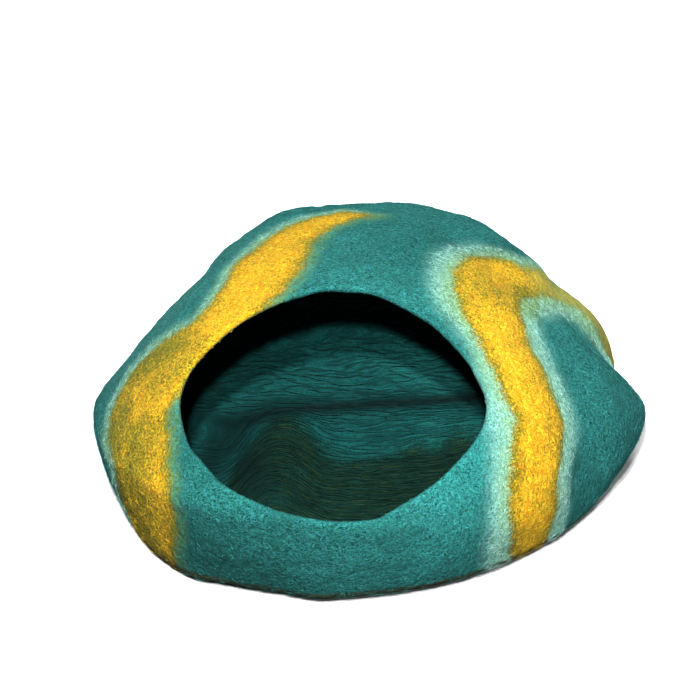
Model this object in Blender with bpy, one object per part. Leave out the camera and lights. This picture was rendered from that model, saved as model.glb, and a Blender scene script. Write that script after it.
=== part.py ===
"""A felted wool cat cave: one seamless hollow pod with an eye-shaped mouth.

The pod is a single sheet of thick felt.  Its outside is described from a point inside it, the
heart: every direction from there meets the felt once.  Upright sections give the wall, the mouth
is cut where a rim table says, and folds and floor waves make it as slack as a worked piece of felt.
Metres, +Z up, resting on z = 0 and centred on the Z axis.  The mouth looks forward, to -Y, and up.
"""
from collections import namedtuple
import math

import bmesh
import bpy
import numpy as np

# ---------------------------------------------------------------- sizes
FELT_THICKNESS = 0.006
RIM_ROUNDING = 0.0027
CROWN_HEIGHT = 0.208
HEART = np.array([0.0, 0.0, 0.080])
FOOT_ROUNDING = 0.058
MOUTH_AIM = np.array([-0.17, -0.90, 0.40])
WOBBLE_HEIGHT = 0.0010
WOBBLE_LENGTH = 0.028
FLOOR_WAVE_REACH = 0.060

TURNS = 72
RINGS = 34

# ---------------------------------------------------------------- tables
# Upright sections of the wall, each at an azimuth in degrees: 0 right, 90 back, 180 left, 270 front.
# A slope of 1 runs straight up from the widest place; above 1 it swells.  A higher dome is squarer.
Section = namedtuple("Section", "azimuth foot_radius widest_radius widest_height slope dome")
SECTIONS = [
    Section(0, 0.188, 0.232, 0.060, 1.05, 2.4),
    Section(30, 0.182, 0.214, 0.062, 1.15, 2.6),
    Section(60, 0.176, 0.210, 0.070, 1.45, 3.0),
    Section(90, 0.170, 0.205, 0.070, 1.50, 2.9),
    Section(120, 0.175, 0.210, 0.065, 1.10, 3.2),
    Section(150, 0.180, 0.212, 0.065, 0.95, 3.1),
    Section(180, 0.185, 0.225, 0.078, 0.95, 2.8),
    Section(210, 0.222, 0.242, 0.084, 1.15, 2.4),
    Section(240, 0.232, 0.249, 0.094, 1.20, 2.4),
    Section(270, 0.209, 0.232, 0.090, 1.20, 2.4),
    Section(300, 0.200, 0.213, 0.058, 1.60, 2.4),
    Section(330, 0.198, 0.222, 0.052, 1.45, 2.4),
]

# The mouth's edge, seen from the front: 0 right corner, 90 top, 180 left corner, 270 lower lip.
# The spread is the angle at the heart between the mouth's aim and the edge.
RimPoint = namedtuple("RimPoint", "turn spread")
RIM = [
    RimPoint(0, 37.0),
    RimPoint(15, 36.2),
    RimPoint(30, 35.1),
    RimPoint(45, 33.8),
    RimPoint(60, 32.7),
    RimPoint(75, 32.6),
    RimPoint(90, 32.7),
    RimPoint(105, 32.6),
    RimPoint(120, 32.4),
    RimPoint(135, 33.0),
    RimPoint(150, 33.9),
    RimPoint(165, 34.7),
    RimPoint(180, 34.8),
    RimPoint(195, 29.9),
    RimPoint(210, 24.7),
    RimPoint(225, 21.8),
    RimPoint(240, 19.9),
    RimPoint(255, 19.3),
    RimPoint(270, 19.9),
    RimPoint(285, 21.3),
    RimPoint(300, 22.7),
    RimPoint(315, 24.6),
    RimPoint(330, 28.1),
    RimPoint(345, 32.8),
]

# Soft ridges (height above 0) and hollows (below 0) along a line near the wall.
Fold = namedtuple("Fold", "name start end height reach")
FOLDS = [
    Fold("left slope hollow", (-0.210, 0.020, 0.105), (-0.130, 0.080, 0.175), -0.011, 0.080),
    Fold("left shoulder", (-0.125, 0.060, 0.185), (-0.100, 0.090, 0.190), 0.011, 0.060),
    Fold("right shoulder", (0.130, 0.030, 0.175), (0.100, 0.060, 0.190), 0.009, 0.055),
    Fold("lobe ridge", (0.195, -0.075, 0.090), (0.235, -0.020, 0.065), 0.007, 0.060),
    Fold("valley behind lobe", (0.190, -0.010, 0.125), (0.225, 0.020, 0.060), -0.012, 0.042),
    Fold("rear right bulge", (0.190, 0.035, 0.115), (0.195, 0.065, 0.070), 0.010, 0.060),
    Fold("groove before lobe", (0.140, -0.080, 0.150), (0.165, -0.130, 0.060), -0.008, 0.050),
    Fold("upper right dent", (0.120, -0.035, 0.180), (0.165, 0.000, 0.150), -0.006, 0.046),
    Fold("swell beside mouth", (0.100, -0.130, 0.150), (0.115, -0.160, 0.080), 0.004, 0.064),
    Fold("tuck at front foot", (-0.100, -0.210, 0.010), (-0.085, -0.220, 0.010), -0.007, 0.050),
    Fold("back hollow", (-0.020, 0.150, 0.165), (0.050, 0.190, 0.120), -0.007, 0.080),
    Fold("back left ridge", (-0.120, 0.150, 0.130), (-0.150, 0.140, 0.060), 0.006, 0.070),
]

# Waves where the slack floor of the pod stands up off the ground.
FloorWave = namedtuple("FloorWave", "name start end height reach")
FLOOR_WAVES = [
    FloorWave("back wave", (-0.070, 0.020), (0.105, 0.040), 0.016, 0.050),
    FloorWave("left wave", (-0.070, 0.020), (-0.085, -0.060), 0.011, 0.046),
]


# ---------------------------------------------------------------- the shape
def around(rows, field, angle_deg):
    """Smooth value of a table's field at an angle, the rows being evenly spaced round a circle."""
    values = np.array([getattr(row, field) for row in rows])
    place = (np.asarray(angle_deg) % 360.0) * len(rows) / 360.0
    index = np.floor(place).astype(int)
    t = place - index
    before, here, after, beyond = (values[(index + step) % len(rows)] for step in (-1, 0, 1, 2))
    bend = 2 * before - 5 * here + 4 * after - beyond
    twist = 3 * here - before - 3 * after + beyond
    return 0.5 * (2 * here + (after - before) * t + bend * t ** 2 + twist * t ** 3)


def wall_radius(azimuth_deg, height):
    """Radius of the wall at a height: a rounded foot below the widest place, a dome above it."""
    foot = around(SECTIONS, "foot_radius", azimuth_deg)
    widest = around(SECTIONS, "widest_radius", azimuth_deg)
    belly = around(SECTIONS, "widest_height", azimuth_deg)
    slope = around(SECTIONS, "slope", azimuth_deg)
    dome = around(SECTIONS, "dome", azimuth_deg)
    rise = np.clip((height - belly) / (CROWN_HEIGHT - belly), 0, 1)
    upper = widest * (1 - rise ** slope) ** (1 / dome)
    lower = foot + (widest - foot) * np.sin(np.clip(height / belly, -0.5, 1) * math.pi / 2)
    return np.where(height > belly, upper, lower)


def soft_min(first, second, rounding):
    """The smaller of two lengths, with a rounded change from one to the other."""
    overlap = np.maximum(rounding - np.abs(first - second), 0) / rounding
    return np.minimum(first, second) - overlap ** 2 * rounding / 4


def wall_points(directions):
    """Points of the plain pod, found from the heart by halving along each direction."""
    azimuth = np.degrees(np.arctan2(directions[:, 1], directions[:, 0]))
    near = np.zeros(len(directions))
    far = np.full(len(directions), 0.5)
    for _ in range(30):
        middle = (near + far) / 2
        trial = HEART + directions * middle[:, None]
        radius = np.hypot(trial[:, 0], trial[:, 1])
        inside = (radius < wall_radius(azimuth, trial[:, 2])) & (trial[:, 2] < CROWN_HEIGHT)
        near = np.where(inside, middle, near)
        far = np.where(inside, far, middle)
    falling = np.minimum(directions[:, 2], -1e-6)
    to_floor = np.where(directions[:, 2] < -1e-6, -HEART[2] / falling, 9.0)
    return HEART + directions * soft_min(near, to_floor, FOOT_ROUNDING)[:, None]


def bump(points, line):
    """A soft bump along a line: its full height on it, nothing beyond its reach."""
    start = np.array(line.start)
    along = np.array(line.end) - start
    share = np.clip((points - start) @ along / (along @ along), 0, 1)
    away = np.linalg.norm(points - start - share[:, None] * along, axis=1)
    return line.height * np.clip(1 - (away / line.reach) ** 2, 0, 1) ** 2


def wobble(points):
    """The gentle unevenness of hand-worked felt, which dies out at the floor."""
    x, y, z = points.T / WOBBLE_LENGTH
    wave = np.sin(x + 1.3 * np.sin(0.7 * y)) * np.cos(1.1 * y - 0.8 * z) + np.sin(0.6 * x - 0.9 * z + 2.0)
    return WOBBLE_HEIGHT * wave * np.clip((points[:, 2] - 0.01) / 0.03, 0, 1)


def felt_points(directions):
    """Points of the felt's outside, with its folds, its unevenness and its floor waves."""
    points = wall_points(directions)
    push = wobble(points) + sum(bump(points, fold) for fold in FOLDS)
    points = points + directions * push[:, None]
    lift = sum(bump(points[:, :2], wave) ** 4 for wave in FLOOR_WAVES) ** 0.25
    points[:, 2] += lift * np.clip(1 - points[:, 2] / FLOOR_WAVE_REACH, 0, 1) ** 2
    return points


def bag_directions():
    """Directions in rings, from the mouth's edge over the whole pod to the point behind it."""
    aim = MOUTH_AIM / np.linalg.norm(MOUTH_AIM)
    right = np.cross([0.0, 0.0, 1.0], -aim)
    right /= np.linalg.norm(right)
    right *= np.sign(right[0])
    up = np.cross(right, aim)
    up *= np.sign(up[2])
    turn = np.linspace(0, 360, TURNS, endpoint=False)
    share = np.arange(RINGS)[:, None] / RINGS
    edge = around(RIM, "spread", turn)
    spread = np.radians(edge + (180 - edge) * share)[..., None]
    turn = np.radians(turn)[:, None]
    sideways = np.cos(turn) * right + np.sin(turn) * up
    return np.cos(spread) * aim + np.sin(spread) * sideways, -aim


def pod_mesh(name):
    """The outside of the felt as an open bag of rings, closed by a fan at the back."""
    rings, back = bag_directions()
    points = felt_points(np.concatenate([rings.reshape(-1, 3), back[None]]))
    middle = (points.min(axis=0) + points.max(axis=0)) / 2
    points[:, :2] -= middle[:2]

    shape = bmesh.new()
    verts = [shape.verts.new(point) for point in points]
    tip = verts[-1]
    for ring in range(RINGS):
        for turn in range(TURNS):
            here = verts[ring * TURNS + turn]
            beside = verts[ring * TURNS + (turn + 1) % TURNS]
            if ring == RINGS - 1:
                shape.faces.new((here, tip, beside))
                continue
            behind = verts[(ring + 1) * TURNS + turn]
            across = verts[(ring + 1) * TURNS + (turn + 1) % TURNS]
            shape.faces.new((here, behind, across, beside))
    bmesh.ops.recalc_face_normals(shape, faces=shape.faces)
    mesh = bpy.data.meshes.new(name)
    shape.to_mesh(mesh)
    shape.free()
    mesh.shade_smooth()
    return mesh


def felt_material():
    material = bpy.data.materials.new("teal_felt")
    material.use_nodes = True
    shader = material.node_tree.nodes["Principled BSDF"]
    shader.inputs["Base Color"].default_value = (0.045, 0.200, 0.195, 1.0)
    shader.inputs["Roughness"].default_value = 0.95
    shader.inputs["Metallic"].default_value = 0.0
    return material


def build():
    for item in list(bpy.data.objects):
        bpy.data.objects.remove(item, do_unlink=True)

    pod = bpy.data.objects.new("felt_pod", pod_mesh("felt_pod"))
    bpy.context.scene.collection.objects.link(pod)
    pod.data.materials.append(felt_material())

    thickness = pod.modifiers.new("felt thickness", "SOLIDIFY")
    thickness.thickness = FELT_THICKNESS
    thickness.offset = -1.0
    thickness.use_even_offset = True
    thickness.use_rim = True

    lip = pod.modifiers.new("rounded lip", "BEVEL")
    lip.width = RIM_ROUNDING
    lip.segments = 3
    lip.limit_method = "ANGLE"
    lip.angle_limit = math.radians(60)


build()
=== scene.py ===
"""The looks of a felted wool cat cave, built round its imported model.

One fine felt skin replaces the plain solid.  It follows the same sections, mouth, folds and floor
waves, with the felt's own relief added.  Coloured wool bands are tables of centre lines that lie on
the pod.  Loose fibres stand on the felt, and the pod rests on a white floor under studio lights.
"""
from collections import namedtuple
import math

import bpy
import numpy as np
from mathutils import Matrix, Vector


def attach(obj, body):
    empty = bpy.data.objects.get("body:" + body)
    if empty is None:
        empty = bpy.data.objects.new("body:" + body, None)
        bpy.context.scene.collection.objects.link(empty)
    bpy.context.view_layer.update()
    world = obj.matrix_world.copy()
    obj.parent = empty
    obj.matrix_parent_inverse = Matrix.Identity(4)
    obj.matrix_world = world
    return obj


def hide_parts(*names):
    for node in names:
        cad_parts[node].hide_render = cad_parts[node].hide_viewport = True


NODE = "felt_pod"
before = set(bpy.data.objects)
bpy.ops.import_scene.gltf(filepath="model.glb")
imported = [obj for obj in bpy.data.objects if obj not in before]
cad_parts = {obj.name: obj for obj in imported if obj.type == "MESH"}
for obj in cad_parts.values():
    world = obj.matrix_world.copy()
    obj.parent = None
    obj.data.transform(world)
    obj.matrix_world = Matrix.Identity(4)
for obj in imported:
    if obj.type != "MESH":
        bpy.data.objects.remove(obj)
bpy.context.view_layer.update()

# ---------------------------------------------------------------- sizes, as in the solid
FELT_THICKNESS = 0.006
CROWN_HEIGHT = 0.208
HEART = np.array([0.0, 0.0, 0.080])
FOOT_ROUNDING = 0.058
MOUTH_AIM = np.array([-0.17, -0.90, 0.40])
WOBBLE_HEIGHT = 0.0010
WOBBLE_LENGTH = 0.028
WOBBLE_START = 0.01
WOBBLE_RISE = 0.03
FLOOR_WAVE_REACH = 0.060
WAVE_BLEND = 4
SOLID_TURNS = 72
SOLID_RINGS = 34
# Limits of the search for the wall along a direction from the heart.
FARTHEST = 0.5
HALVINGS = 30
LEAST_FALL = -1e-6
NO_FLOOR = 9.0
LOWEST_SHARE = -0.5

# ---------------------------------------------------------------- sizes of the fine skin
TURNS = 320
RINGS = 144
LIP_STEPS = 7
LIP_SETBACK = 0.7
RIPPLE_WAVES = 40
RELIEF_HEIGHT = 0.00035
RELIEF_LENGTHS = (0.012, 0.030)
RELIEF_START = 0.004
RELIEF_RISE = 0.015
CREASE_HEIGHT = 0.00045
CREASE_LENGTHS = (0.010, 0.020)
CREASE_STRETCH = 0.35
CREASE_SWAY = 0.004
CREASE_SWAY_LENGTH = 0.031

# Upright sections of the wall, each at an azimuth in degrees: 0 right, 90 back, 180 left, 270 front.
Section = namedtuple("Section", "azimuth foot_radius widest_radius widest_height slope dome")
SECTIONS = [
    Section(0, 0.188, 0.232, 0.060, 1.05, 2.4),
    Section(30, 0.182, 0.214, 0.062, 1.15, 2.6),
    Section(60, 0.176, 0.210, 0.070, 1.45, 3.0),
    Section(90, 0.170, 0.205, 0.070, 1.50, 2.9),
    Section(120, 0.175, 0.210, 0.065, 1.10, 3.2),
    Section(150, 0.180, 0.212, 0.065, 0.95, 3.1),
    Section(180, 0.185, 0.225, 0.078, 0.95, 2.8),
    Section(210, 0.222, 0.242, 0.084, 1.15, 2.4),
    Section(240, 0.232, 0.249, 0.094, 1.20, 2.4),
    Section(270, 0.209, 0.232, 0.090, 1.20, 2.4),
    Section(300, 0.200, 0.213, 0.058, 1.60, 2.4),
    Section(330, 0.198, 0.222, 0.052, 1.45, 2.4),
]

# The mouth's edge, seen from the front: 0 right corner, 90 top, 180 left corner, 270 lower lip.
RimPoint = namedtuple("RimPoint", "turn spread")
RIM = [
    RimPoint(0, 37.0),
    RimPoint(15, 36.2),
    RimPoint(30, 35.1),
    RimPoint(45, 33.8),
    RimPoint(60, 32.7),
    RimPoint(75, 32.6),
    RimPoint(90, 32.7),
    RimPoint(105, 32.6),
    RimPoint(120, 32.4),
    RimPoint(135, 33.0),
    RimPoint(150, 33.9),
    RimPoint(165, 34.7),
    RimPoint(180, 34.8),
    RimPoint(195, 29.9),
    RimPoint(210, 24.7),
    RimPoint(225, 21.8),
    RimPoint(240, 19.9),
    RimPoint(255, 19.3),
    RimPoint(270, 19.9),
    RimPoint(285, 21.3),
    RimPoint(300, 22.7),
    RimPoint(315, 24.6),
    RimPoint(330, 28.1),
    RimPoint(345, 32.8),
]

# Soft ridges (height above 0) and hollows (below 0) along a line near the wall.
Fold = namedtuple("Fold", "name start end height reach")
FOLDS = [
    Fold("left slope hollow", (-0.210, 0.020, 0.105), (-0.130, 0.080, 0.175), -0.011, 0.080),
    Fold("left shoulder", (-0.125, 0.060, 0.185), (-0.100, 0.090, 0.190), 0.011, 0.060),
    Fold("right shoulder", (0.130, 0.030, 0.175), (0.100, 0.060, 0.190), 0.009, 0.055),
    Fold("lobe ridge", (0.195, -0.075, 0.090), (0.235, -0.020, 0.065), 0.007, 0.060),
    Fold("valley behind lobe", (0.190, -0.010, 0.125), (0.225, 0.020, 0.060), -0.012, 0.042),
    Fold("rear right bulge", (0.190, 0.035, 0.115), (0.195, 0.065, 0.070), 0.010, 0.060),
    Fold("groove before lobe", (0.140, -0.080, 0.150), (0.165, -0.130, 0.060), -0.008, 0.050),
    Fold("upper right dent", (0.120, -0.035, 0.180), (0.165, 0.000, 0.150), -0.006, 0.046),
    Fold("swell beside mouth", (0.100, -0.130, 0.150), (0.115, -0.160, 0.080), 0.004, 0.064),
    Fold("tuck at front foot", (-0.100, -0.210, 0.010), (-0.085, -0.220, 0.010), -0.007, 0.050),
    Fold("back hollow", (-0.020, 0.150, 0.165), (0.050, 0.190, 0.120), -0.007, 0.080),
    Fold("back left ridge", (-0.120, 0.150, 0.130), (-0.150, 0.140, 0.060), 0.006, 0.070),
]

# Waves where the slack floor of the pod stands up off the ground.
FloorWave = namedtuple("FloorWave", "name start end height reach")
FLOOR_WAVES = [
    FloorWave("back wave", (-0.070, 0.020), (0.105, 0.040), 0.016, 0.050),
    FloorWave("left wave", (-0.070, 0.020), (-0.085, -0.060), 0.011, 0.046),
]

# ---------------------------------------------------------------- coloured wool
# Bands of yellow wool with pale borders, each a smooth line of stops lying on the pod, in metres.
# Going up from the foot, outer is the border on the left of the yellow and inner the one on its right.
# A border of BARE is hidden under the yellow.
BARE = -0.012
FAR_FROM_BANDS = 0.05
PATH_STEPS = 6
Band = namedtuple("Band", "pale_strength stops")
Stop = namedtuple("Stop", "x y z half_width outer inner")
BANDS = {
    "left band": Band(0.70, [
        Stop(-0.130, -0.110, 0.000, 0.022, 0.012, BARE),
        Stop(-0.169, -0.145, 0.014, 0.029, 0.014, BARE),
        Stop(-0.176, -0.158, 0.050, 0.034, 0.016, BARE),
        Stop(-0.175, -0.165, 0.078, 0.037, 0.016, BARE),
        Stop(-0.175, -0.155, 0.100, 0.031, 0.016, BARE),
        Stop(-0.179, -0.138, 0.113, 0.031, 0.018, BARE),
        Stop(-0.184, -0.118, 0.120, 0.036, 0.016, BARE),
        Stop(-0.175, -0.098, 0.132, 0.039, 0.018, BARE),
        Stop(-0.153, -0.087, 0.152, 0.030, 0.015, BARE),
        Stop(-0.134, -0.083, 0.166, 0.025, 0.013, BARE),
        Stop(-0.122, -0.074, 0.178, 0.026, 0.012, BARE),
        Stop(-0.106, -0.058, 0.186, 0.027, 0.014, BARE),
        Stop(-0.091, -0.036, 0.194, 0.031, 0.014, BARE),
        Stop(-0.083, -0.012, 0.199, 0.031, 0.015, BARE),
        Stop(-0.071, 0.015, 0.203, 0.025, 0.016, BARE),
        Stop(-0.057, 0.036, 0.206, 0.020, 0.018, BARE),
        Stop(-0.038, 0.050, 0.208, 0.015, 0.015, BARE),
        Stop(-0.018, 0.060, 0.209, 0.010, 0.010, BARE),
        Stop(0.006, 0.060, 0.209, 0.001, 0.006, BARE),
    ]),
    "right band": Band(0.95, [
        Stop(0.085, -0.100, 0.000, 0.018, 0.014, 0.010),
        Stop(0.119, -0.145, 0.010, 0.017, 0.024, 0.022),
        Stop(0.121, -0.160, 0.035, 0.021, 0.028, 0.026),
        Stop(0.124, -0.168, 0.066, 0.026, 0.024, 0.027),
        Stop(0.122, -0.166, 0.087, 0.026, 0.020, 0.027),
        Stop(0.124, -0.154, 0.103, 0.027, 0.020, 0.025),
        Stop(0.126, -0.137, 0.118, 0.028, 0.024, 0.025),
        Stop(0.122, -0.122, 0.132, 0.026, 0.024, 0.024),
        Stop(0.111, -0.108, 0.147, 0.027, 0.016, 0.024),
        Stop(0.103, -0.094, 0.160, 0.026, 0.013, 0.025),
        Stop(0.097, -0.077, 0.171, 0.027, 0.015, 0.024),
        Stop(0.092, -0.062, 0.179, 0.029, 0.020, 0.024),
        Stop(0.090, -0.044, 0.186, 0.031, 0.024, 0.023),
        Stop(0.095, -0.024, 0.188, 0.030, 0.025, 0.022),
        Stop(0.109, -0.004, 0.183, 0.025, 0.020, 0.025),
        Stop(0.124, 0.006, 0.173, 0.016, 0.017, 0.028),
        Stop(0.139, 0.021, 0.164, 0.014, 0.015, 0.026),
        Stop(0.153, 0.034, 0.152, 0.013, 0.011, 0.023),
        Stop(0.171, 0.045, 0.139, 0.013, 0.008, 0.020),
        Stop(0.188, 0.050, 0.118, 0.018, 0.008, 0.022),
        Stop(0.198, 0.060, 0.090, 0.022, 0.010, 0.020),
        Stop(0.200, 0.075, 0.055, 0.024, 0.010, 0.016),
        Stop(0.185, 0.085, 0.020, 0.020, 0.010, 0.012),
        Stop(0.145, 0.070, 0.000, 0.014, 0.008, 0.008),
    ]),
    "back band": Band(0.80, [
        Stop(-0.105, 0.110, 0.170, 0.004, 0.004, BARE),
        Stop(-0.122, 0.130, 0.145, 0.019, 0.012, BARE),
        Stop(-0.112, 0.160, 0.108, 0.027, 0.016, BARE),
        Stop(-0.090, 0.180, 0.070, 0.023, 0.015, BARE),
        Stop(-0.094, 0.172, 0.030, 0.026, 0.014, BARE),
        Stop(-0.075, 0.120, 0.000, 0.020, 0.010, BARE),
    ]),
}
# Soft places in the wool, as lines that are strongest in the middle and fade out over their reach.
Soft = namedtuple("Soft", "name start end reach strength")
# Where the yellow wool lies thin over the teal and looks mossy. On the left band the darker moss is also
# painted shade on the side turned from the light.
THIN_WOOL = [
    Soft("dent in the right band", (0.118, -0.048, 0.168), (0.122, -0.010, 0.170), 0.020, 1.00),
    Soft("end of the dent", (0.122, -0.010, 0.170), (0.146, 0.010, 0.158), 0.020, 0.90),
    Soft("upper edge of the right band", (0.075, -0.045, 0.190), (0.092, -0.002, 0.192), 0.018, 0.40),
    Soft("top of the right band", (0.078, -0.050, 0.188), (0.118, -0.012, 0.179), 0.045, 0.40),
    Soft("right half of the right band", (0.142, -0.158, 0.095), (0.140, -0.122, 0.128), 0.020, 0.40),
    Soft("lower right band", (0.138, -0.160, 0.060), (0.135, -0.160, 0.085), 0.018, 0.30),
    Soft("outer half of the left band", (-0.206, -0.105, 0.108), (-0.202, -0.150, 0.060), 0.044, 1.00),
    Soft("middle of the left band", (-0.180, -0.135, 0.115), (-0.172, -0.162, 0.070), 0.042, 0.75),
    Soft("foot of the left band", (-0.190, -0.145, 0.050), (-0.165, -0.155, 0.010), 0.044, 0.80),
    Soft("back edge of the left band", (-0.192, -0.065, 0.128), (-0.155, -0.072, 0.160), 0.038, 0.95),
    Soft("neck of the left band", (-0.168, -0.105, 0.140), (-0.135, -0.098, 0.160), 0.032, 0.60),
    Soft("upper edge of the left band", (-0.118, -0.010, 0.188), (-0.085, 0.042, 0.198), 0.022, 0.45),
]
# Where the yellow wool is blended with pale wool and looks faded.
FADED_WOOL = [
    Soft("bulge behind the lobe", (0.150, 0.045, 0.152), (0.194, 0.050, 0.112), 0.060, 1.00),
    Soft("foot of the bulge", (0.194, 0.050, 0.112), (0.205, 0.070, 0.040), 0.060, 0.90),
]
# Where moss is blended into the pale borders.
MOSSY_PALE = [
    Soft("dent of the right band", (0.127, -0.034, 0.166), (0.131, -0.012, 0.165), 0.018, 1.00),
    Soft("top of the arch", (0.128, -0.018, 0.165), (0.160, 0.026, 0.146), 0.032, 0.65),
    Soft("behind the arch", (0.160, 0.026, 0.146), (0.190, 0.020, 0.110), 0.030, 0.50),
    Soft("top left of the right band", (0.064, -0.070, 0.187), (0.066, -0.040, 0.194), 0.028, 0.50),
    Soft("crest of the right band", (0.080, -0.005, 0.196), (0.110, 0.030, 0.182), 0.024, 0.35),
]

# How far back the olive wool on the floor reaches: x, y in metres.
OLIVE_EDGE = [
    (-0.125, -0.050),
    (-0.112, -0.005),
    (-0.098, 0.030),
    (-0.080, 0.046),
    (-0.063, 0.028),
    (-0.050, 0.008),
    (-0.035, -0.004),
    (0.000, -0.006),
    (0.020, -0.001),
    (0.060, 0.014),
    (0.095, 0.030),
    (0.130, 0.030),
]
OLIVE_ROUNDING = 0.008
# Where the olive wool gives out: behind its edge, to the left, and up the wall.
FLOOR_FRONT = (0.024, -0.024)
FLOOR_LEFT = (-0.140, -0.118)
FLOOR_TOP = (0.055, 0.020)
# The level lines of the creases turn about this place as they go from the floor up the back wall.
PATH_CENTRE_Y = -0.06
PATH_CENTRE_Z = 0.13
PATH_RADIUS = 0.17
PATH_FLOOR_DEPTH = (0.070, 0.010)
PATH_FLOOR_HEIGHT = (0.060, 0.020)
PATH_BEND = 0.8
# Painted shade: darker teal on places outside that lie in shade.
PAINTED_SHADE_OUTSIDE = [
    Soft("front left of the wall", (-0.165, -0.185, 0.050), (-0.080, -0.215, 0.060), 0.075, 0.36),
    Soft("left of the right band's crown", (0.020, -0.020, 0.205), (0.050, 0.020, 0.200), 0.050, 0.30),
    Soft("right of the right band", (0.165, -0.125, 0.100), (0.165, -0.130, 0.060), 0.022, 0.35),
    Soft("left of the lip", (-0.135, -0.150, 0.120), (-0.110, -0.185, 0.105), 0.030, 0.35),
    Soft("crest of the right band", (0.078, 0.000, 0.197), (0.120, 0.040, 0.176), 0.032, 0.45),
]
# Painted light: brighter teal outside, right of the mouth, on the side the light falls on.
PAINTED_LIGHT_OUTSIDE = [
    Soft("right of the mouth", (0.072, -0.168, 0.117), (0.056, -0.187, 0.098), 0.045, 0.35),
    Soft("front right of the wall", (0.056, -0.187, 0.098), (0.036, -0.203, 0.050), 0.050, 0.22),
]
# Painted sheen: a thin pale veil over the teal on the left slope, for the fuzz that catches grazing
# light.
PAINTED_SHEEN = [
    Soft("left slope", (-0.205, -0.030, 0.115), (-0.160, 0.010, 0.160), 0.060, 0.12),
    Soft("upper left slope", (-0.160, 0.010, 0.160), (-0.115, 0.060, 0.186), 0.050, 0.08),
]
# Painted shade: near-black teal behind the floor's fold and on dim places deep in the pod, where shade
# falls.
VALLEY_SHADE = [
    Soft("behind the floor's fold, right", (0.110, 0.086, 0.014), (0.045, 0.077, 0.016), 0.046, 0.95),
    Soft("behind the floor's fold, middle", (0.045, 0.077, 0.016), (-0.040, 0.068, 0.018), 0.048, 0.98),
    Soft("left of the fold", (-0.040, 0.068, 0.018), (-0.092, 0.064, 0.014), 0.050, 0.98),
    Soft("end of the fold", (-0.092, 0.064, 0.014), (-0.124, 0.048, 0.007), 0.046, 0.95),
    Soft("down the left of the floor", (-0.124, 0.048, 0.007), (-0.144, -0.024, 0.006), 0.044, 0.85),
    Soft("mound of the floor", (-0.040, 0.020, 0.020), (0.020, 0.020, 0.016), 0.045, 0.35),
    Soft("left of the olive floor", (-0.118, 0.010, 0.010), (-0.100, -0.060, 0.010), 0.050, 0.55),
    Soft("left corner of the floor", (-0.165, 0.090, 0.015), (-0.150, -0.060, 0.020), 0.070, 0.45),
    Soft("left of the back wall", (-0.150, 0.125, 0.015), (-0.110, 0.150, 0.015), 0.075, 0.30),
    Soft("top of the back wall", (-0.130, 0.180, 0.040), (0.080, 0.195, 0.050), 0.036, 0.60),
]
# Painted light: lighter teal on places inside, where more light should fall.
PAINTED_LIGHT_INSIDE = [
    Soft("right of the back wall", (0.060, 0.150, 0.010), (0.110, 0.110, 0.010), 0.070, 0.70),
    Soft("behind the olive wool", (0.000, 0.040, 0.010), (0.060, 0.050, 0.010), 0.030, 0.25),
]
# The names under which the mesh holds these places for its material.
SOFT_PLACES = {
    "thin": THIN_WOOL,
    "faded": FADED_WOOL,
    "mossy_pale": MOSSY_PALE,
    "painted_shade": PAINTED_SHADE_OUTSIDE,
    "painted_light": PAINTED_LIGHT_OUTSIDE,
    "painted_sheen": PAINTED_SHEEN,
    "valley": VALLEY_SHADE,
    "painted_light_inside": PAINTED_LIGHT_INSIDE,
}


# ---------------------------------------------------------------- the shape, as in the solid
def smooth_between(before, here, after, beyond, share):
    """Smooth value a share of the way from here to after, with one more value on each side."""
    bend = 2 * before - 5 * here + 4 * after - beyond
    twist = 3 * here - before - 3 * after + beyond
    return 0.5 * (2 * here + (after - before) * share + bend * share ** 2 + twist * share ** 3)


def around(rows, field, angle_deg):
    """Smooth value of a table's field at an angle, the rows being evenly spaced round a circle."""
    values = np.array([getattr(row, field) for row in rows])
    place = (np.asarray(angle_deg) % 360.0) * len(rows) / 360.0
    index = np.floor(place).astype(int)
    before, here, after, beyond = (values[(index + step) % len(rows)] for step in (-1, 0, 1, 2))
    return smooth_between(before, here, after, beyond, place - index)


def wall_radius(azimuth_deg, height):
    """Radius of the wall at a height: a rounded foot below the widest place, a dome above it."""
    foot = around(SECTIONS, "foot_radius", azimuth_deg)
    widest = around(SECTIONS, "widest_radius", azimuth_deg)
    belly = around(SECTIONS, "widest_height", azimuth_deg)
    slope = around(SECTIONS, "slope", azimuth_deg)
    dome = around(SECTIONS, "dome", azimuth_deg)
    rise = np.clip((height - belly) / (CROWN_HEIGHT - belly), 0, 1)
    upper = widest * (1 - rise ** slope) ** (1 / dome)
    lower = foot + (widest - foot) * np.sin(np.clip(height / belly, LOWEST_SHARE, 1) * math.pi / 2)
    return np.where(height > belly, upper, lower)


def soft_min(first, second, rounding):
    """The smaller of two lengths, with a rounded change from one to the other."""
    overlap = np.maximum(rounding - np.abs(first - second), 0) / rounding
    return np.minimum(first, second) - overlap ** 2 * rounding / 4


def wall_points(directions):
    """Points of the plain pod, found from the heart by halving along each direction."""
    azimuth = np.degrees(np.arctan2(directions[:, 1], directions[:, 0]))
    near = np.zeros(len(directions))
    far = np.full(len(directions), FARTHEST)
    for _ in range(HALVINGS):
        middle = (near + far) / 2
        trial = HEART + directions * middle[:, None]
        radius = np.hypot(trial[:, 0], trial[:, 1])
        inside = (radius < wall_radius(azimuth, trial[:, 2])) & (trial[:, 2] < CROWN_HEIGHT)
        near = np.where(inside, middle, near)
        far = np.where(inside, far, middle)
    falling = np.minimum(directions[:, 2], LEAST_FALL)
    to_floor = np.where(directions[:, 2] < LEAST_FALL, -HEART[2] / falling, NO_FLOOR)
    return HEART + directions * soft_min(near, to_floor, FOOT_ROUNDING)[:, None]


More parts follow.
